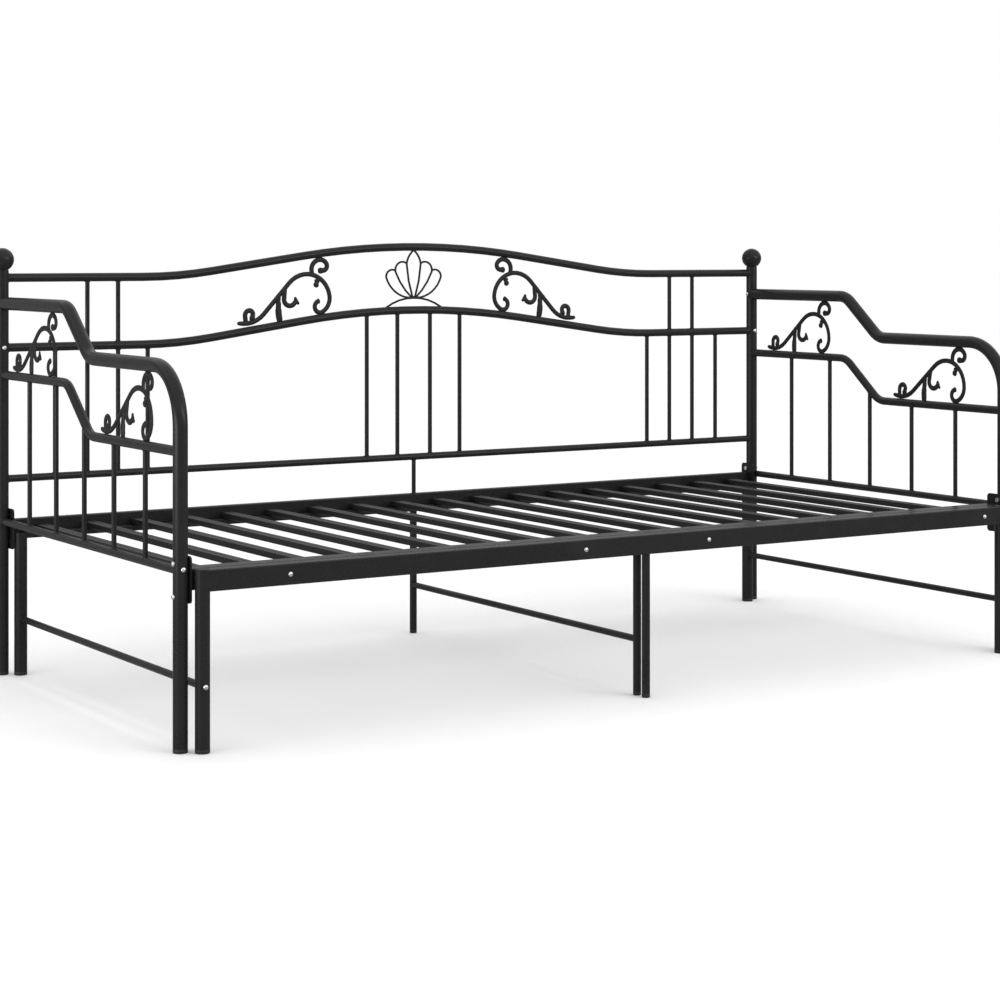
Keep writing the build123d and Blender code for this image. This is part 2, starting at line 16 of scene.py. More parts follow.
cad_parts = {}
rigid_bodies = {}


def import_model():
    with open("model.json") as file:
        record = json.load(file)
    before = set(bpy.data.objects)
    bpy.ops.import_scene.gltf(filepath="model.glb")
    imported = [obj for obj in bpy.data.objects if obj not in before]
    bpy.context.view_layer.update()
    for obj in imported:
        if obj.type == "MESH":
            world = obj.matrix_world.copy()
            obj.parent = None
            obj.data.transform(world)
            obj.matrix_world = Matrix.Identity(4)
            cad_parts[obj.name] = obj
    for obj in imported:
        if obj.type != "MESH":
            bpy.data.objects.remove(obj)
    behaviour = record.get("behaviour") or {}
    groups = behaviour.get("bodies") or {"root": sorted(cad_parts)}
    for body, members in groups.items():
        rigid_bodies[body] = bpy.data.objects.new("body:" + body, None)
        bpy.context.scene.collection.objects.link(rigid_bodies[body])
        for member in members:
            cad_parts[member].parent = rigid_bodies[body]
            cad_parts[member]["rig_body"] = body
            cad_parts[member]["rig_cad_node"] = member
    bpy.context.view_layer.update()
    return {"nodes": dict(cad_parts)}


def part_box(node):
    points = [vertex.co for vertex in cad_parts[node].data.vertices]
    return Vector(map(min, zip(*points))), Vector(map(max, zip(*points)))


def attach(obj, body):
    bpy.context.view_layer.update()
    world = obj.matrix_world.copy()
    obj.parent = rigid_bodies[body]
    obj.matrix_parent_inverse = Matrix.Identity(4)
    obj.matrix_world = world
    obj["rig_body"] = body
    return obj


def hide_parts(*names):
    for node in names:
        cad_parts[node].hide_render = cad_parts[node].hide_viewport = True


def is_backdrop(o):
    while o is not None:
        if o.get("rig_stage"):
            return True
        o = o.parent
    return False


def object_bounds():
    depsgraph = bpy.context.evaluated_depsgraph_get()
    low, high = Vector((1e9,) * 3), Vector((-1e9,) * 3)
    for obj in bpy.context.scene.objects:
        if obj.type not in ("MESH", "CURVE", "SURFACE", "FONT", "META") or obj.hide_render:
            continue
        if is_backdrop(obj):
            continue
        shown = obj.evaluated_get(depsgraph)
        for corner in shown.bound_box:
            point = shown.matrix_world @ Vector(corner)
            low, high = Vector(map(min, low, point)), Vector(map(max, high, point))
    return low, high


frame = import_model()

# %% [markdown]
# Lengths on a bed are easiest to read in millimetres, but the frame is in metres. One
# constant turns the first into the second wherever a size is written.

# %% Units
MM = 0.001
UP = Vector((0, 0, 1))


# %% [markdown]
# Materials are small sums on the object's own coordinates. A sum is easier to read as a
# line of arithmetic than as a web of nodes, so one class wraps a socket and turns plus and
# times into Math nodes. A second class holds a material and adds any other node.

# %% Sockets that can be added and multiplied
class Value:
    """A node's output, which can be used in sums."""

    def __init__(self, finish, socket):
        self.finish = finish
        self.socket = socket

    def maths(self, operation, first, second):
        return self.finish.node("ShaderNodeMath", {"operation": operation}, {0: first, 1: second})

    def __add__(self, other):
        return self.maths("ADD", self, other)

    def __radd__(self, other):
        return self.maths("ADD", other, self)

    def __mul__(self, other):
        return self.maths("MULTIPLY", self, other)

    def __rmul__(self, other):
        return self.maths("MULTIPLY", other, self)


# %% A material and its nodes
class Finish:
    """A material that is built up node by node."""

    def __init__(self, name, **shader):
        self.material = bpy.data.materials.new(name)
        self.material.use_nodes = True
        self.tree = self.material.node_tree
        self.shader = self.tree.nodes["Principled BSDF"]
        for socket, value in shader.items():
            self.shader.inputs[socket.replace("_", " ")].default_value = value
        self.place = self.node("ShaderNodeTexCoord", {}, {}, "Object")

    def node(self, kind, settings, sockets, output=0):
        made = self.tree.nodes.new(kind)
        for name, value in settings.items():
            if name == "stops":
                self.set_stops(made.color_ramp, value)
            else:
                setattr(made, name, value)
        for name, value in sockets.items():
            self.feed(made.inputs[name], value)
        return Value(self, made.outputs[output])

    def feed(self, socket, value):
        if isinstance(value, Value):
            self.tree.links.new(value.socket, socket)
        else:
            socket.default_value = value

    def set_stops(self, ramp, stops):
        while len(ramp.elements) < len(stops):
            ramp.elements.new(0.5)
        for element, (position, grey) in zip(ramp.elements, stops):
            element.position = position
            element.color = (grey, grey, grey, 1)

    def noise(self, size, detail=2.0, roughness=0.5, seed=0.0):
        """Noise from 0 to 1 with blobs of about this size in metres."""
        settings = {"noise_dimensions": "4D"}
        sockets = {"Vector": self.place, "W": seed, "Scale": 1 / size, "Detail": detail,
                   "Roughness": roughness}
        return self.node("ShaderNodeTexNoise", settings, sockets, "Fac")

    def ramp(self, value, *stops):
        return self.node("ShaderNodeValToRGB", {"stops": stops}, {"Fac": value}, "Color")

    def mix(self, share, first, second):
        """The first colour turning into the second as share goes from 0 to 1."""
        sockets = {0: share, 6: first, 7: second}
        return self.node("ShaderNodeMix", {"data_type": "RGBA"}, sockets, 2)

    def bump(self, height, depth, under=None):
        sockets = {"Height": height, "Distance": depth, "Strength": 1.0}
        if under:
            sockets["Normal"] = under
        return self.node("ShaderNodeBump", {}, sockets, "Normal")

    def paint(self, **sockets):
        for socket, value in sockets.items():
            self.feed(self.shader.inputs[socket.replace("_", " ")], value)
        return self.material


# %% [markdown]
# Powder coat is paint baked on as dust. It flows into a skin with the dimples of orange
# peel, about a millimetre across and one to three hundredths deep, with a soft highlight.
# The colour is nearly even: a little lighter where dust has settled on it, and with a faint
# drift along each tube. All steel of the bed has this coat, so one function makes each kind.

# %% The black coats
COAT_DARK = (0.0115, 0.0115, 0.0118, 1)
COAT_LIGHT = (0.0155, 0.0155, 0.0158, 1)
DUST = (0.032, 0.031, 0.030, 1)
COAT_SPECULAR = 0.14
DRIFT_SIZE = 160 * MM
FLECK_SIZE = 3.2 * MM
DUST_SIZE = 45 * MM
GROUND_SIZE = 4.5 * MM
DUST_SHARE = 0.16  # how much of the dust colour the dustiest spots show


def coat(name, peel_size, peel_depth, gloss, seed, grain=0.0):
    """Black powder coat. Gloss is its roughness, and grain the depth of a rough ground."""
    finish = Finish(name, Specular_IOR_Level=COAT_SPECULAR)
    drift = finish.noise(DRIFT_SIZE, seed=seed)
    fleck = finish.noise(FLECK_SIZE, detail=3.0, seed=seed + 1)
    patches = finish.noise(DUST_SIZE, detail=5.0, roughness=0.6, seed=seed + 2)
    settled = finish.ramp(patches, (0.50, 0.0), (0.78, 1.0))
    colour = finish.mix(finish.ramp(drift * 0.6 + fleck * 0.4, (0.32, 0.0), (0.68, 1.0)),
                        COAT_DARK, COAT_LIGHT)
    colour = finish.mix(settled * DUST_SHARE, colour, DUST)
    peel = finish.noise(peel_size, detail=1.0, seed=seed + 3)
    normal = finish.bump(peel, peel_depth)
    if grain:
        ground = finish.noise(GROUND_SIZE, detail=4.0, roughness=0.62, seed=seed + 4)
        normal = finish.bump(ground, grain, under=normal)
    roughness = gloss - 0.05 + drift * 0.06 + fleck * 0.05 + settled * 0.05
    return finish.paint(Base_Color=colour, Roughness=roughness, Normal=normal)


frame_coat = coat("black_powder_coat", 1.3 * MM, 0.012 * MM, 0.27, seed=3.0)
pull_out_coat = coat("pull_out_powder_coat", 1.3 * MM, 0.012 * MM, 0.27, seed=17.0)
slat_coat = coat("slat_powder_coat", 1.1 * MM, 0.03 * MM, 0.36, seed=29.0)
scroll_coat = coat("coated_casting", 1.5 * MM, 0.03 * MM, 0.40, seed=41.0, grain=0.12 * MM)
print("coats:", frame_coat.name, pull_out_coat.name, slat_coat.name, scroll_coat.name)

# %% [markdown]
# The bolts are plated with bright zinc. It is a metal, so it has no paint colour under it:
# its look comes from how fine the scratches are. Two noises, one coarse and one very fine,
# cloud the plating, and the finest also gives it a slightly drawn surface.

# %% Zinc plate
finish = Finish("bright_zinc", Metallic=1.0)
cloud = finish.noise(2.4 * MM, detail=4.0, seed=5.0)
drawn = finish.noise(0.35 * MM, detail=2.0, seed=6.0)
zinc = finish.paint(
    Base_Color=finish.mix(cloud, (0.60, 0.61, 0.63, 1), (0.82, 0.82, 0.80, 1)),
    Roughness=0.20 + cloud * 0.12 + drawn * 0.08,
    Normal=finish.bump(drawn, 0.012 * MM),
)

# %% [markdown]
# The caps are black polyethylene. A mould that has been spark eroded leaves a fine, even
# grain, which makes the plastic look duller and a little greyer than the coat beside it.
# The foot end of a cap is scuffed by the floor, so a low band of it is lighter.

# %% Moulded plastic
finish = Finish("moulded_black_plastic", Specular_IOR_Level=0.35)
spark = finish.noise(0.42 * MM, detail=2.0, seed=8.0)
patch = finish.noise(7 * MM, detail=4.0, seed=9.0)
height = finish.node("ShaderNodeSeparateXYZ", {}, {"Vector": finish.place}, "Z")
scuff = finish.ramp(height * (1 / (4 * MM)) + patch * 0.8, (0.55, 1.0), (1.0, 0.0))
plastic = finish.paint(
    Base_Color=finish.mix(scuff * 0.5 + patch * 0.15, (0.0085, 0.0085, 0.009, 1),
                          (0.05, 0.05, 0.05, 1)),
    Roughness=0.50 + spark * 0.12 + scuff * 0.1,
    Normal=finish.bump(spark, 0.03 * MM),
)
print("metal and plastic:", zinc.name, plastic.name)

# %% [markdown]
# Every tube keeps its CAD mesh, and only the material in its slot changes. The record says
# which finish a node has, so a table from the record's slot to the material dresses all.

# %% Dress the CAD nodes
SLOT_FINISH = {
    "frame_coat": frame_coat,
    "pull_out_coat": pull_out_coat,
    "slat_coat": slat_coat,
    "cast_scroll": scroll_coat,
    "zinc_bolts": zinc,
    "black_plastic": plastic,
}
for node in frame["nodes"].values():
    for slot in node.material_slots:
        slot.material = SLOT_FINISH[slot.material.name.split(".")[0]]
print("dressed:", len(frame["nodes"]), "nodes")


# %% [markdown]
# Each new piece starts the same way: nothing selected, one primitive, and edit mode. It
# ends the same way too: doubles merged, normals turned outwards, its place put into its
# mesh, and smooth shading that stops at sharp edges. Two helpers hold those steps.

# %% Start and finish a piece
MERGE = 0.02 * MM
SMOOTH_ANGLE = math.radians(38)


def select_only(*things):
    if bpy.context.object and bpy.context.object.mode != "OBJECT":
        bpy.ops.object.mode_set(mode="OBJECT")
    bpy.ops.object.select_all(action="DESELECT")
    for thing in things:
        thing.select_set(True)
    bpy.context.view_layer.objects.active = things[-1] if things else None


def clean(piece, smooth=SMOOTH_ANGLE):
    """Merges doubles, turns the faces outwards and puts the place into the mesh."""
    select_only(piece)
    bpy.ops.object.transform_apply(location=True, rotation=True, scale=True)
    bpy.ops.object.mode_set(mode="EDIT")
    bpy.ops.mesh.select_all(action="SELECT")
    bpy.ops.mesh.remove_doubles(threshold=MERGE)
    bpy.ops.mesh.normals_make_consistent(inside=False)
    bpy.ops.object.mode_set(mode="OBJECT")
    bpy.ops.object.shade_smooth_by_angle(angle=smooth)
    return piece


# %% [markdown]
# Bolts, caps and beads repeat many times. Each is modelled once at the origin, copied with
# a mesh of its own to every place, and joined into one piece for each CAD group.

# %% Copy a master to its places
def copies(master, name, places):
    """One piece made of a copy of the master's mesh at each place, a 4x4 matrix."""
    made = []
    for place in places:
        twin = master.copy()
        twin.data = master.data.copy()
        twin.data.transform(place)
        bpy.context.scene.collection.objects.link(twin)
        made.append(twin)
    select_only(*made)
    bpy.ops.object.join()
    piece = bpy.context.object
    piece.name = piece.data.name = name
    return piece


def settle(piece, material, slot, body, *nodes):
    """Gives a finished piece its material and its body, and hides the CAD nodes it stands for."""
    piece.data.materials.clear()
    piece.data.materials.append(material)
    if nodes:
        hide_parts(*nodes)
    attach(piece, body)
    print(piece.name, "on", body, "with", len(piece.data.polygons), "faces")


# %% [markdown]
# A CAD group such as the corner bolts is one node with several solids. Their places are
# read from it, so that nothing is typed twice: a merged copy of the mesh is separated into
# its loose parts, and the corners of each are kept as an array.

# %% Read the solids of a group
def solids(node):
    """The vertices of each solid of a CAD node, as arrays."""
    twin = frame["nodes"][node].copy()
    twin.data = twin.data.copy()
    twin.parent = None
    bpy.context.scene.collection.objects.link(twin)
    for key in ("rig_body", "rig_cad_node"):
        del twin[key]
    select_only(twin)
    bpy.ops.object.mode_set(mode="EDIT")
    bpy.ops.mesh.select_all(action="SELECT")
    bpy.ops.mesh.remove_doubles(threshold=MERGE / 10)
    bpy.ops.mesh.separate(type="LOOSE")
    bpy.ops.object.mode_set(mode="OBJECT")
    found = []
    for part in list(bpy.context.selected_objects):
        found.append(np.array([corner.co for corner in part.data.vertices]))
        bpy.data.objects.remove(part)
    return found


def middle(corners):
    return Vector((corners.min(0) + corners.max(0)) / 2)


print("solids of corner_bolts:", len(solids("corner_bolts")))

# %% [markdown]
# A scroll is bent rod, so it is drawn as one: a disc is the rod's end, extrude makes a
# straight run and spin makes a bend of a true radius. Resizing the end between two short
# runs swells or tapers the rod. This pen works in the XZ plane, in edit mode, and later
# the whole drawing is turned into its plane on the bed.

# %% A pen that draws bent rod
BEND_STEP = 9  # degrees to a ring
ROD_SIDES = 14


class Rod:
    """The open end of a rod, and the way it points."""

    def __init__(self, across, up, heading, radius, start=1.0):
        self.end = Vector((across, 0, up)) * MM
        self.heading = math.radians(heading)
        self.radius = radius * MM
        bpy.ops.mesh.select_all(action="DESELECT")
        bpy.ops.mesh.primitive_circle_add(
            vertices=ROD_SIDES, radius=self.radius * start, fill_type="NGON",
            location=self.end, rotation=(0, math.pi / 2 - self.heading, 0))

    def run(self, length, scale=1.0):
        """A straight run in millimetres, whose end is this much wider than its start."""
        way = Vector((math.cos(self.heading), 0, math.sin(self.heading)))
        self.end += way * length * MM
        bpy.ops.mesh.extrude_region_move(TRANSFORM_OT_translate={"value": way * length * MM})
        if scale != 1:
            bpy.ops.transform.resize(value=(scale, scale, scale), center_override=self.end)
        return self

    def bend(self, radius, degrees):
        """A bend to the left, or to the right where degrees are below zero."""
        side = math.copysign(1, degrees)
        left = Vector((-math.sin(self.heading), 0, math.cos(self.heading)))
        centre = self.end + left * side * radius * MM
        bpy.ops.mesh.spin(steps=max(2, round(abs(degrees) / BEND_STEP)),
                          angle=math.radians(abs(degrees)), center=centre,
                          axis=(0, side, 0))
        turn = Matrix.Rotation(-math.radians(degrees), 3, "Y")
        self.end = centre + turn @ (self.end - centre)
        self.heading += math.radians(degrees)
        return self

    def branch(self, turn, radius):
        """A new rod that starts at this one's end, turned by these degrees."""
        heading = math.degrees(self.heading) + turn
        return Rod(self.end.x / MM, self.end.z / MM, heading, radius)

    def bulb(self, swell=1.3):
        """A rounded end, a little wider than the rod."""
        r = self.radius / MM
        return (self.run(0.7 * r, swell).run(0.6 * r, 1.04).run(0.5 * r, 0.86)
                .run(0.35 * r, 0.66).run(0.12 * r, 0.45))

    def tip(self):
        """A plain rounded end."""
        r = self.radius / MM
        return self.run(0.45 * r, 0.88).run(0.3 * r, 0.72).run(0.12 * r, 0.5)


def open_piece(name):
    """An empty mesh, open in edit mode, for the pen to draw in."""
    select_only()
    piece = bpy.data.objects.new(name, bpy.data.meshes.new(name))
    bpy.context.scene.collection.objects.link(piece)
    select_only(piece)
    bpy.ops.object.mode_set(mode="EDIT")
    return piece


# %% [markdown]
# The scroll is a vine cast in one piece. Its stem curls tightly at one end, sweeps over in
# an arch and runs out to a long tail. From the stem grow a top curl, a middle curl that
# ends in a small fleur, a leaf that hangs between them, a bud beside the big curl and a
# hook on the tail. The first number of each bend is its radius in millimetres.

# %% Draw the scroll
VINE = 6.1  # half the stem's width, in millimetres
TWIG = 6.0
FLATTEN = 0.46  # the casting's thickness as a share of its width


def draw_fleur(curl):
    """Two short lobes and a middle one that spread from the end of a curl."""
    for turn, length in ((-48, 7), (14, 3), (84, 7)):
        lobe = curl.branch(turn, 4.3)
        lobe.run(length * 0.5, 1.12).run(length * 0.5, 0.84).tip()


def draw_leaf(across, up):
    """A leaf that hangs from the stem: thin at the stalk, full below, blunt at its tip."""
    leaf = Rod(across, up, -74, 4.2)
    leaf.run(5, 1.2).bend(90, -5).run(5, 1.35).bend(120, -5).run(7, 1.2).bend(90, -10)
    leaf.run(5, 0.95).run(3, 0.88).tip()


def draw_scroll(name):
    """The scroll, flat in the XZ plane, with its lowest left corner near the origin."""
    piece = open_piece(name)
    # the stem, from the inside of the big curl to the end of the tail
    stem = Rod(33.6, 31.9, -15, VINE, start=0.55)
    stem.run(1.5, 1.7).run(2, 1.16).run(1.5, 0.86)
    stem.bend(13.7, -185).bend(36, -70).bend(60, -90).bend(64, -40)
    stem.run(97).bend(66, 50).run(8, 0.92).run(3, 0.9).tip()
    # the top curl
    Rod(46, 93, 90, TWIG).run(11).bend(23, 90).bend(20, 60).bend(11, 124).bulb(1.2)
    # the middle curl and its fleur
    draw_fleur(Rod(121, 70, -78, TWIG).run(22).bend(15, -145).run(6, 0.9))
    draw_leaf(137, 58)
    # the hook on the tail
    Rod(230, 8, 90, TWIG).run(15).bend(11.5, 90).bend(9, 112).bulb(1.15)
    # the bud beside the big curl
    Rod(27.5, 87, -58, 5.4).run(12).run(2.5, 0.95).bulb(1.35)
    Rod(35, 76, 22, 3.8).bend(5, 60).tip()
    bpy.ops.mesh.select_all(action="SELECT")
    bpy.ops.transform.resize(value=(1, FLATTEN, 1), center_override=(0, 0, 0))
    return clean(piece)


scroll = draw_scroll("scroll_master")
low, high = Vector(scroll.bound_box[0]), Vector(scroll.bound_box[6])
print("scroll:", [round(size / MM, 1) for size in high - low], "mm")

# %% [markdown]
# The same casting is used six times. On the side panels it stands in the panel's plane
# with the big curl towards the front, and on the back it is tilted to follow the arched
# rail, once as drawn and once mirrored. Each place comes from the box of its CAD node.

# %% Place the six scrolls
REACH = 1.05 * MM  # how far the outline runs past the drawing's own corner
SEAT = 0.4 * MM  # how far it dips beside the top of the tube
TURN_TO_SIDE = Matrix.Rotation(math.radians(90), 4, "Z")
BACK_TILT = math.radians(7.4)
BACK_PIVOT = Vector((33.0, 0.0, 4.5)) * MM
BACK_INSET = 28.9 * MM  # from the pivot to the near corner of the tilted scroll's box
MIRROR_X = Matrix.Scale(-1, 4, (1, 0, 0))

for place in ("rear_left", "rear_right", "front_left", "front_right"):
    name = "side_scroll_" + place
    low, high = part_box(name)
    corner = Vector(((low.x + high.x) / 2, low.y + REACH, low.z + SEAT))
    piece = copies(scroll, name + "_casting", [Matrix.Translation(corner) @ TURN_TO_SIDE])
    settle(piece, scroll_coat, "cast_scroll", "daybed_frame", name)

low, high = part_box("back_scroll_left")
pivot = Vector((high.x - BACK_INSET, (low.y + high.y) / 2, low.z + BACK_INSET))
tilted = (Matrix.Translation(pivot) @ Matrix.Rotation(-BACK_TILT, 4, "Y") @ MIRROR_X
          @ Matrix.Translation(-BACK_PIVOT))
for side, place in (("left", tilted), ("right", MIRROR_X @ tilted)):
    piece = clean(copies(scroll, f"back_scroll_{side}_casting", [place]))
    settle(piece, scroll_coat, "cast_scroll", "daybed_frame", "back_scroll_" + side)
bpy.data.objects.remove(scroll)

# %% [markdown]
# The palmette in the middle of the back is a fan of wire petals. Each half petal is one
# arc, given by its two ends and a point between. A circle through three points has one
# centre, and the pen needs only its radius, its turn and the way it starts.

# %% Draw the palmette
WIRE = 2.5  # half the wire's thickness, in millimetres
HALF_PALMETTE = (
    ((-76, 783), (-40, 800), (0, 805.5)),
    ((-3, 806), (-15, 852), (-19.5, 888)),
    ((-19.5, 888), (-13, 906), (0, 920.5)),
    ((-5, 806), (-33, 837), (-50, 868)),
    ((-50, 868), (-42, 889), (-20, 889)),
    ((-9, 806), (-55, 824), (-76, 856)),
    ((-76, 856), (-66, 872), (-50, 871)),
)


def draw_arc(first, between, last):
    """A wire arc from the first point to the last, through the one between."""
    a, b, c = (complex(*point) for point in (first, between, last))
    w = (c - a) / (b - a)
    centre = (b - a) * (w - abs(w) ** 2) / (2j * w.imag) + a
    radius = abs(centre - a)
    side = 1 if ((b - a).conjugate() * (c - b)).imag > 0 else -1
    turn = math.degrees(cmath.phase((c - centre) / (a - centre)))
    heading = math.degrees(cmath.phase(a - centre)) + side * 90
    Rod(a.real, a.imag, heading, WIRE).bend(radius, side * abs(turn))


def draw_palmette():
    piece = open_piece("back_palmette_wire")
    for mirror in (1, -1):
        for arc in HALF_PALMETTE:
            draw_arc(*((across * mirror, up) for across, up in arc))
    for across in (-76, 76):  # rounded wire ends on the base
        for turn in (0, 180):
            Rod(across, 783, turn, WIRE).tip()
    # the knot that ties the petals: a small bead, wider in its middle
    Rod(0, 803, 90, 2.6, start=0.6).run(1, 1.5).run(2, 1.25).run(2, 0.9).tip()
    return clean(piece)


palmette = draw_palmette()
low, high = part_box("back_palmette")
palmette.data.transform(Matrix.Translation((0, (low.y + high.y) / 2, 0)))
settle(palmette, scroll_coat, "cast_scroll", "daybed_frame", "back_palmette")

# %% [markdown]
# Each post is closed by a steel ball. It is a sphere cut off a little above the post's rim,
# with a short waist that leaves a dark line under it, and a plug that goes into the tube.
# The two are the same, so the second is a copy on the other post.

# %% The ball finials
ABOVE_RIM = 1.4 * MM  # where the sphere is cut off
NECK = ((0.5, 0.90), (1.1, 0.98), (0.4, 0.86), (9, 1))  # drop in mm and scale


def flat_end(at_height):
    """Selects the face that closes the open piece at this height."""
    bpy.ops.mesh.select_mode(type="FACE")
    mesh = bpy.context.object.data
    bpy.ops.mesh.select_all(action="DESELECT")
    bpy.ops.object.mode_set(mode="OBJECT")
    for face in mesh.polygons:
        face.select = abs(face.center.z - at_height) < MERGE and abs(face.normal.z) > 0.99
    bpy.ops.object.mode_set(mode="EDIT")


def push(height, scale, at):
    """Extrudes the selected faces along Z and scales their far end about a point."""
    bpy.ops.mesh.extrude_region_move(TRANSFORM_OT_translate={"value": UP * height})
    if scale != 1:
        bpy.ops.transform.resize(value=(scale, scale, 1), center_override=at)


def make_finial():
    low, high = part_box("ball_finials")
    radius = (high.y - low.y) / 2
    centre = Vector((high.x - radius, (high.y + low.y) / 2, high.z - radius))
    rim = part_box("back_post_right")[1].z + ABOVE_RIM
    select_only()
    bpy.ops.mesh.primitive_uv_sphere_add(segments=56, ring_count=36, radius=radius,
                                         location=centre)
    ball = bpy.context.object
    bpy.ops.object.transform_apply(location=True, rotation=True, scale=True)
    bpy.ops.object.mode_set(mode="EDIT")
    bpy.ops.mesh.select_all(action="SELECT")
    bpy.ops.mesh.bisect(plane_co=(0, 0, rim), plane_no=UP, use_fill=True, clear_inner=True)
    flat_end(rim)
    for drop, scale in NECK:
        push(-drop * MM, scale, centre)
    return clean(ball)


finial = make_finial()
both = [Matrix.Identity(4), MIRROR_X]
piece = clean(copies(finial, "ball_finial_pair", both))
bpy.data.objects.remove(finial)
settle(piece, frame_coat, "frame_coat", "daybed_frame", "ball_finials")

# %% [markdown]
# The bolts have low domed heads with a hexagon socket. The dome is a disc that is extruded
# and narrowed ring by ring, the shank is pulled from its underside, and the socket is cut
# with a Boolean. A bolt's length and the way it points are read from its own solid.

# %% One bolt
HEAD_RADIUS = 5 * MM
HEAD_HEIGHT = 3.6 * MM
SHANK_SHARE = 0.6  # of the head's width
SOCKET_RADIUS = 2.1 * MM
SOCKET_DEPTH = 2.2 * MM
CHAMFER = 0.8 * MM  # at the end of the shank
CHAMFER_SCALE = 0.78
SIDES = 30
DOME = ((0.55, 1.0), (0.55, 0.975), (0.75, 0.92), (0.75, 0.85), (0.55, 0.78), (0.45, 0.72))


def make_bolt(shank):
    """A bolt that stands on the XY plane, with its shank of this length below."""
    select_only()
    bpy.ops.mesh.primitive_circle_add(vertices=SIDES, radius=HEAD_RADIUS, fill_type="NGON")
    bolt = bpy.context.object
    bpy.ops.object.mode_set(mode="EDIT")
    for height, scale in DOME:
        push(height * MM, scale, (0, 0, 0))
    flat_end(0)
    bpy.ops.mesh.inset(thickness=HEAD_RADIUS * (1 - SHANK_SHARE))
    push(-(shank - CHAMFER), 1, (0, 0, 0))
    push(-CHAMFER, CHAMFER_SCALE, (0, 0, 0))
    clean(bolt)
    bpy.ops.mesh.primitive_cylinder_add(vertices=6, radius=SOCKET_RADIUS, depth=SOCKET_DEPTH * 2,
                                        location=(0, 0, HEAD_HEIGHT))
    cutter = bpy.context.object
    select_only(bolt)
    cut = bolt.modifiers.new("socket", "BOOLEAN")
    cut.object = cutter
    bpy.ops.object.modifier_apply(modifier=cut.name)
    bpy.data.objects.remove(cutter)
    return clean(bolt)


def bolt_lie(corners):
    """Where a bolt's head sits, which way it points, and the length of its shank."""
    size = corners.max(0) - corners.min(0)
    along = int(size.argmax())
    centre = middle(corners)
    off_axis = np.delete(corners - np.array(centre), along, axis=1)
    rim = corners[np.hypot(*off_axis.T) > 0.45 * np.delete(size, along).max()]
    side = math.copysign(1, rim[:, along].mean() - centre[along])
    out = Vector((0, 0, 0))
    out[along] = side
    return centre + out * (size[along] / 2 - HEAD_HEIGHT), out, size[along] - HEAD_HEIGHT


# %% [markdown]
# Every group of bolts becomes one piece on the body that its CAD node belongs to. Bolts of
# the same length share a master, and each is given a quarter turn more than the last, so
# that the sockets don't all stand alike.

# %% Bolts in their holes
SOCKET_TURN = math.radians(23)
masters = {}

for node, body in (("corner_bolts", "daybed_frame"), ("panel_bolts", "daybed_frame"),
                   ("pull_rail_bolts", "pull_out"), ("pull_leg_bolts", "pull_out")):
    made = []
    for count, corners in enumerate(solids(node)):
        seat, out, shank = bolt_lie(corners)
        length = round(shank / MM)
        if length not in masters:
            masters[length] = make_bolt(length * MM)
        place = (Matrix.Translation(seat) @ out.to_track_quat("Z", "Y").to_matrix().to_4x4()
                 @ Matrix.Rotation(SOCKET_TURN * count, 4, "Z"))
        made.append(copies(masters[length], node, [place]))
    select_only(*made)
    bpy.ops.object.join()
    piece = bpy.context.object
    piece.name = piece.data.name = node + "_domed"
    settle(piece, zinc, "zinc_bolts", body, node)
for master in masters.values():
    bpy.data.objects.remove(master)

# %% [markdown]
# The foot caps are moulded cups. The floor edge is rounded, the rim against the steel is
# chamfered, which draws a thin line round each leg, and the sole is hollow, as mouldings
# are, so that the wall stays even. Thick and thin legs need a cap of their own width.

# %% Foot caps
SOLE_HOLLOW = 1.6 * MM
CAP_RINGS = ((0.45, 1.0), (1.1, 0.6), (5.6, 0.0), (0.85, -0.45))  # rise and growth in mm
CAP_START = 1.6 * MM  # how much narrower the sole is than the cap
CAP_BODY = 8 * MM  # what shows below the leg
CAP_WALL = 1.9 * MM  # from the rim in to the plug
SOLE_RIM = 0.22  # of the radius


def make_cap(radius, plug):
    """A cap on the XY plane for a leg of this radius, with a plug of this height."""
    select_only()
    bpy.ops.mesh.primitive_circle_add(vertices=44, radius=radius - CAP_START, fill_type="NGON")
    cap = bpy.context.object
    bpy.ops.object.mode_set(mode="EDIT")
    now = radius - CAP_START
    for rise, growth in CAP_RINGS:
        wider = now + growth * MM
        push(rise * MM, wider / now, (0, 0, 0))
        now = wider
    push(0, (now - CAP_WALL) / now, (0, 0, 0))
    push(plug, 1, (0, 0, 0))
    flat_end(0)
    bpy.ops.mesh.inset(thickness=radius * SOLE_RIM)
    push(SOLE_HOLLOW, 0.94, (0, 0, 0))
    return clean(cap)


for node, body in (("foot_caps", "daybed_frame"), ("centre_foot_caps", "daybed_frame"),
                   ("pull_foot_caps", "pull_out"), ("pull_centre_cap", "pull_out")):
    found = solids(node)
    size = found[0].max(0) - found[0].min(0)
    cap = make_cap(size[0] / 2, size[2] - CAP_BODY)
    feet = [Matrix.Translation((*middle(corners)[:2], 0)) for corners in found]
    piece = copies(cap, node + "_moulded", feet)
    bpy.data.objects.remove(cap)
    settle(piece, plastic, "black_plastic", body, node)

# %% [markdown]
# A sliding slat ends in a small square plug. It starts as a cube: the outer face is inset
# and pressed in, the inner one is inset and drawn into the tube, and a bevel takes the
# sharpness off. There are 18, so the plug is kept to a few dozen faces.

# %% Slat end caps
LIP = 2.1 * MM
EDGE = 0.55 * MM  # bevel
FACE_RIM = 2.2 * MM  # round the pressed-in middle of the outer face
FACE_DEPTH = 0.6 * MM
WALL_INSET = 0.9 * MM  # from the lip in to the part inside the tube


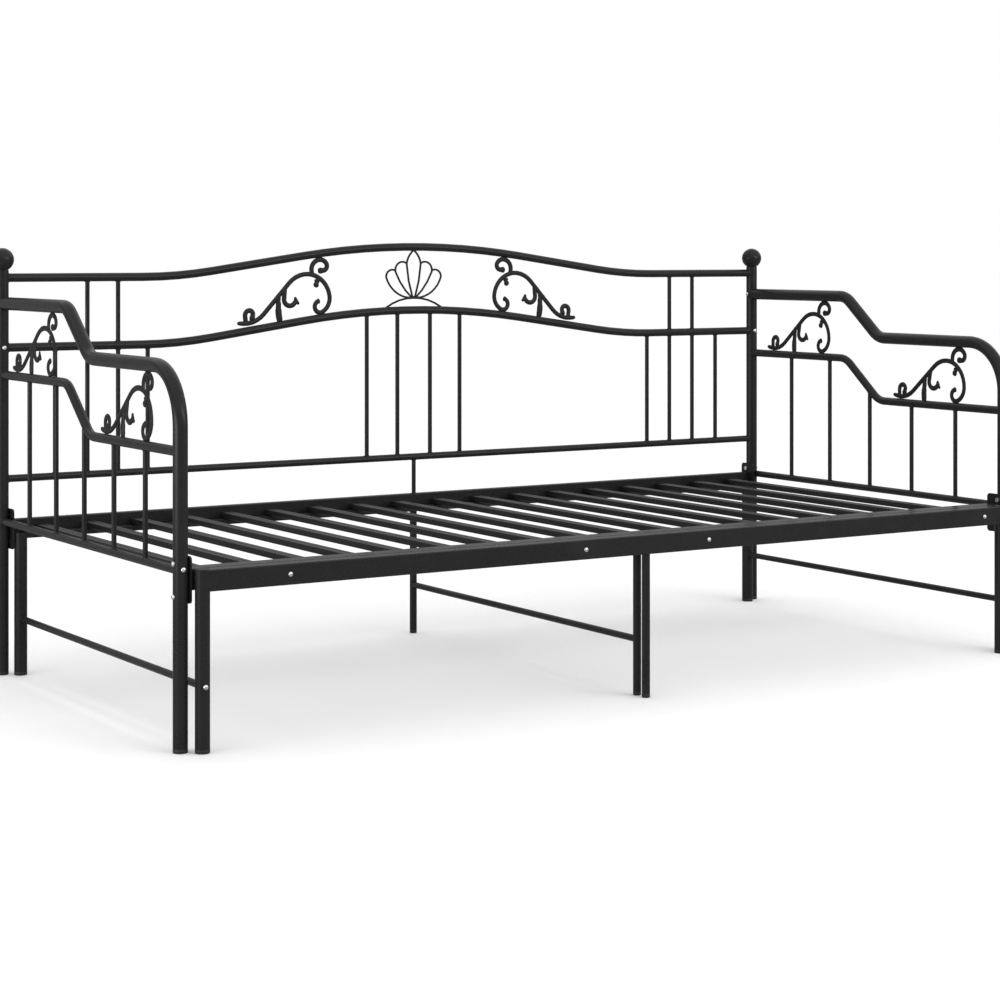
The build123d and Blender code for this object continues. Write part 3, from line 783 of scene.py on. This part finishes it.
def pick_face(way):
    """Selects the outermost face of the open piece that looks this way."""
    bpy.ops.object.mode_set(mode="OBJECT")
    mesh = bpy.context.object.data
    faces = [face for face in mesh.polygons if face.normal.dot(way) > 0.99]
    best = max(faces, key=lambda face: face.center.dot(way))
    for face in mesh.polygons:
        face.select = face.index == best.index
    for edge in mesh.edges:
        edge.select = False
    for corner in mesh.vertices:
        corner.select = corner.index in best.vertices
    bpy.ops.object.mode_set(mode="EDIT")


def make_plug(side, length):
    """A square plug that looks along Y, with the outside of its lip at the origin."""
    select_only()
    bpy.ops.mesh.primitive_cube_add(size=1, location=(0, -LIP / 2, 0), scale=(side, LIP, side))
    plug = bpy.context.object
    bpy.ops.object.transform_apply(location=True, rotation=True, scale=True)
    bpy.ops.object.mode_set(mode="EDIT")
    bpy.ops.mesh.select_all(action="SELECT")
    bpy.ops.mesh.bevel(offset=EDGE, segments=2, affect="EDGES")
    bpy.ops.mesh.select_mode(type="FACE")
    pick_face(Vector((0, 1, 0)))
    bpy.ops.mesh.inset(thickness=FACE_RIM)
    bpy.ops.mesh.extrude_region_move(TRANSFORM_OT_translate={"value": (0, -FACE_DEPTH, 0)})
    pick_face(Vector((0, -1, 0)))
    bpy.ops.mesh.inset(thickness=WALL_INSET)
    bpy.ops.mesh.extrude_region_move(TRANSFORM_OT_translate={"value": (0, LIP - length, 0)})
    return clean(plug)


found = solids("slat_end_caps")
size = found[0].max(0) - found[0].min(0)
plug = make_plug(size[0], size[1])
ends = [Matrix.Translation((middle(corners).x, corners[:, 1].max(), middle(corners).z))
        for corners in found]
piece = copies(plug, "slat_end_plugs", ends)
bpy.data.objects.remove(plug)
settle(piece, plastic, "black_plastic", "pull_out", "slat_end_caps")

# %% [markdown]
# The two front legs of the pull-out half end in open tube beside the front rail. A plain
# round plug with a soft edge closes each one.

# %% Plugs on top of the front legs
PLUG_RISE = 0.8 * MM
PLUG_DEPTH = 6.0 * MM
PLUG_INSET = 1.0 * MM  # from the outside of the tube, so the plug laps onto its rim
PLUG_EDGE = 0.6 * MM


def make_top_plug(radius):
    """A round plug that looks up, with the rim of its tube at the origin."""
    select_only()
    bpy.ops.mesh.primitive_cylinder_add(vertices=40, radius=radius, depth=PLUG_RISE + PLUG_DEPTH,
                                        location=(0, 0, (PLUG_RISE - PLUG_DEPTH) / 2))
    plug = bpy.context.object
    bpy.ops.object.transform_apply(location=True, rotation=True, scale=True)
    bpy.ops.object.mode_set(mode="EDIT")
    bpy.ops.mesh.select_all(action="SELECT")
    bpy.ops.mesh.bevel(offset=PLUG_EDGE, segments=3, affect="EDGES")
    return clean(plug)


legs = [solids(node)[0] for node in ("pull_leg_front_left", "pull_leg_front_right")]
plug = make_top_plug((legs[0].max(0)[0] - legs[0].min(0)[0]) / 2 - PLUG_INSET)
tops = [Matrix.Translation((middle(leg).x, middle(leg).y, leg[:, 2].max())) for leg in legs]
piece = copies(plug, "pull_leg_top_plugs", tops)
bpy.data.objects.remove(plug)
settle(piece, plastic, "black_plastic", "pull_out")
print("leg plugs:", len(tops))

# %% [markdown]
# Where a spindle meets a rail there is a weld: a ring of metal, thicker than the corner it
# fills, with the ripples that each dip of the wire left. It is a torus whose rings are
# swollen in turn. A weld on a round rail follows the rail, so the ring is saddled down at
# the sides. The beads are grown on the CAD tubes and stand for no node of their own.

# %% One weld bead
BEAD = 1.35 * MM
BITE = BEAD * 0.35  # how far outside the rod the bead's middle runs
RINGS, RING_SIDES = 28, 6
SADDLE = 0.94  # of the rail's radius, where the saddle stops falling


def make_bead(inner, onto):
    """A bead round a rod of radius inner that stands on a tube of radius onto, along X."""
    select_only()
    bpy.ops.mesh.primitive_torus_add(major_segments=RINGS, minor_segments=RING_SIDES,
                                     major_radius=inner + BITE, minor_radius=BEAD)
    bead = bpy.context.object
    for index, corner in enumerate(bead.data.vertices):
        ripple = 1.1 if (index // RING_SIDES) % 2 else 0.93
        ring = Vector((corner.co.x, corner.co.y, 0)).normalized() * (inner + BITE)
        corner.co = ring + (corner.co - ring) * ripple
        reach = min(abs(corner.co.y), onto * SADDLE)
        corner.co.z += math.sqrt(onto ** 2 - reach ** 2) - onto
    return clean(bead, smooth=math.radians(60))


def lay(point, run, out):
    """The place of a bead on a tube that runs one way, seen from outside it."""
    side = out.cross(run)
    turn = Matrix((run, side, out)).transposed().to_4x4()
    return Matrix.Translation(point) @ turn


# %% [markdown]
# The welds of a spindle are found from its own solid. At each end the two outermost edges
# along the rail give the rail's height and its slope there, which on the arched and wavy
# rails differ from one spindle to the next.

# %% Welds at the spindles' ends
ROD_RADIUS = 5 * MM
RAIL_RADIUS = 9.5 * MM


def spindle_welds(node, along):
    """The places of the beads at both ends of each spindle, whose rails run along an axis."""
    places = []
    for corners in solids(node):
        centre = middle(corners)
        for way in (-1, 1):
            heights = []
            for side in (-1, 1):
                edge = corners[(corners[:, along] - centre[along]) * side > 0.9 * ROD_RADIUS]
                heights.append((edge[:, 2] * way).max() * way)
            run = Vector((0, 0, heights[1] - heights[0]))
            run[along] = 2 * ROD_RADIUS
            run.normalize()
            across = Vector((0, 1, 0)) if along == 0 else Vector((-1, 0, 0))
            out = run.cross(across) * -way
            crown = Vector((centre.x, centre.y, sum(heights) / 2))
            places.append(lay(crown, run, out))
    return places


X_AXIS, Y_AXIS = 0, 1
bead = make_bead(ROD_RADIUS, RAIL_RADIUS)
welds = spindle_welds("back_spindles", X_AXIS) + spindle_welds("back_upper_spindles", X_AXIS)
welds += spindle_welds("back_drop_rod", X_AXIS)
for side in ("left", "right"):
    welds += spindle_welds("side_spindles_" + side, Y_AXIS)
piece = copies(bead, "spindle_welds", welds)
bpy.data.objects.remove(bead)
settle(piece, scroll_coat, "frame_coat", "daybed_frame")

# %% [markdown]
# The rails are welded to the posts and legs in the same way, with a bigger ring. Their
# ends are read from the boxes of the rail and of the post.

# %% Welds at the posts and legs
POST_RADIUS = 14 * MM
LOWER_RADIUS = 8 * MM
END_SLICE = 4 * MM


def rail_end(rail, side, along):
    """The middle of a rail's end: the corners within a short slice at its far side."""
    corners = np.array([corner.co for corner in frame["nodes"][rail].data.vertices])
    outward = corners[:, along] * side
    return middle(corners[outward > outward.max() - END_SLICE])


big_beads = []
post_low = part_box("back_post_right")[0]
for rail, radius in (("back_top_rail", RAIL_RADIUS), ("back_middle_rail", RAIL_RADIUS),
                     ("back_lower_rail", LOWER_RADIUS)):
    bead = make_bead(radius, POST_RADIUS)
    places = []
    for side in (-1, 1):
        end = rail_end(rail, side, X_AXIS)
        point = Vector((side * post_low.x, end.y, end.z))
        places.append(lay(point, UP, Vector((-side, 0, 0))))
    big_beads.append(copies(bead, rail + "_welds", places))
    bpy.data.objects.remove(bead)

rear = post_low.y
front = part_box("arm_frame_right")[0].y + 2 * POST_RADIUS
for rail, radius in (("side_wave_tube", RAIL_RADIUS), ("side_lower_rail", LOWER_RADIUS),
                     ("arm_frame", POST_RADIUS)):
    bead = make_bead(radius, POST_RADIUS)
    places = []
    for name in ("left", "right"):
        for side, face in ((1, rear), (-1, front)):
            if rail == "arm_frame" and side < 0:
                continue
            end = rail_end(f"{rail}_{name}", side, Y_AXIS)
            places.append(lay(Vector((end.x, face, end.z)), UP, Vector((0, -side, 0))))
    big_beads.append(copies(bead, rail + "_welds", places))
    bpy.data.objects.remove(bead)
select_only(*big_beads)
bpy.ops.object.join()
piece = bpy.context.object
piece.name = piece.data.name = "rail_welds"
settle(piece, scroll_coat, "frame_coat", "daybed_frame")

# %% [markdown]
# The bed stands on a pale floor under soft light. Black paint shows only what it mirrors,
# so the floor is kept out of its reflections, and the surround that lights it is dimmer
# than the white one that the camera sees. A wide soft sun lights the floor from above. A
# wide panel in front adds a faint line of light along the rails, and a tall one at the left
# adds one down the uprights.

# %% Floor
select_only()
bpy.ops.mesh.primitive_plane_add(size=160)
floor = bpy.context.object
floor.name = "studio_floor"
floor.visible_glossy = False
finish = Finish("pale_floor", Roughness=0.8, Specular_IOR_Level=0.1)
grain = finish.noise(0.9, detail=3.0, seed=2.0)
floor.data.materials.append(finish.paint(
    Base_Color=finish.mix(grain, (0.86, 0.86, 0.86, 1), (0.88, 0.88, 0.88, 1))))
floor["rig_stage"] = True

# %% Surround
world = bpy.data.worlds.new("studio")
world.use_nodes = True
surround = world.node_tree.nodes["Background"]
seen = world.node_tree.nodes.new("ShaderNodeLightPath")
strength = world.node_tree.nodes.new("ShaderNodeMapRange")
strength.inputs["To Min"].default_value = 0.40  # what lights the bed
strength.inputs["To Max"].default_value = 1.0  # what the camera sees
world.node_tree.links.new(seen.outputs["Is Camera Ray"], strength.inputs["Value"])
world.node_tree.links.new(strength.outputs["Result"], surround.inputs["Strength"])
surround.inputs["Color"].default_value = (1, 1, 1, 1)
bpy.context.scene.world = world


# %% Lamps
def lamp(name, kind, place, **settings):
    """A lamp that looks at the middle of the bed."""
    light = bpy.data.lights.new(name, kind)
    for setting, value in settings.items():
        setattr(light, setting, value)
    stand = bpy.data.objects.new(name, light)
    bpy.context.scene.collection.objects.link(stand)
    stand.location = place
    aim = Vector((0, 0, 0.5)) - stand.location
    stand.rotation_euler = aim.to_track_quat("-Z", "Z").to_euler()
    stand.visible_camera = False


lamp("overhead", "SUN", (0.4, -0.5, 6), energy=2.45, angle=math.radians(140))
lamp("front_panel", "AREA", (2.0, -4.4, 2.0), shape="RECTANGLE", size=4.4, size_y=0.5, energy=90)
lamp("left_panel", "AREA", (-4.8, -0.4, 0.5), shape="RECTANGLE", size=0.55, size_y=3.4, energy=72)

# %% [markdown]
# The camera stands level at the height of the back's top, about a third of a right angle to
# the left of the front, so the posts stay upright. Its lens is shifted down to take in the
# feet.

# %% Camera
lens = bpy.data.cameras.new("camera")
lens.sensor_width = 36
lens.lens = 83.56
lens.shift_y = -0.248756
lens.clip_end = 200
camera = bpy.data.objects.new("camera", lens)
bpy.context.scene.collection.objects.link(camera)
camera.location = (-2.7953, -4.3627, 0.91767)
camera.rotation_euler = (math.radians(90), 0, math.radians(-32.16))
bpy.context.scene.camera = camera
bpy.context.scene.view_settings.view_transform = "Standard"

# %% Measure and finish
low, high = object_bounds()
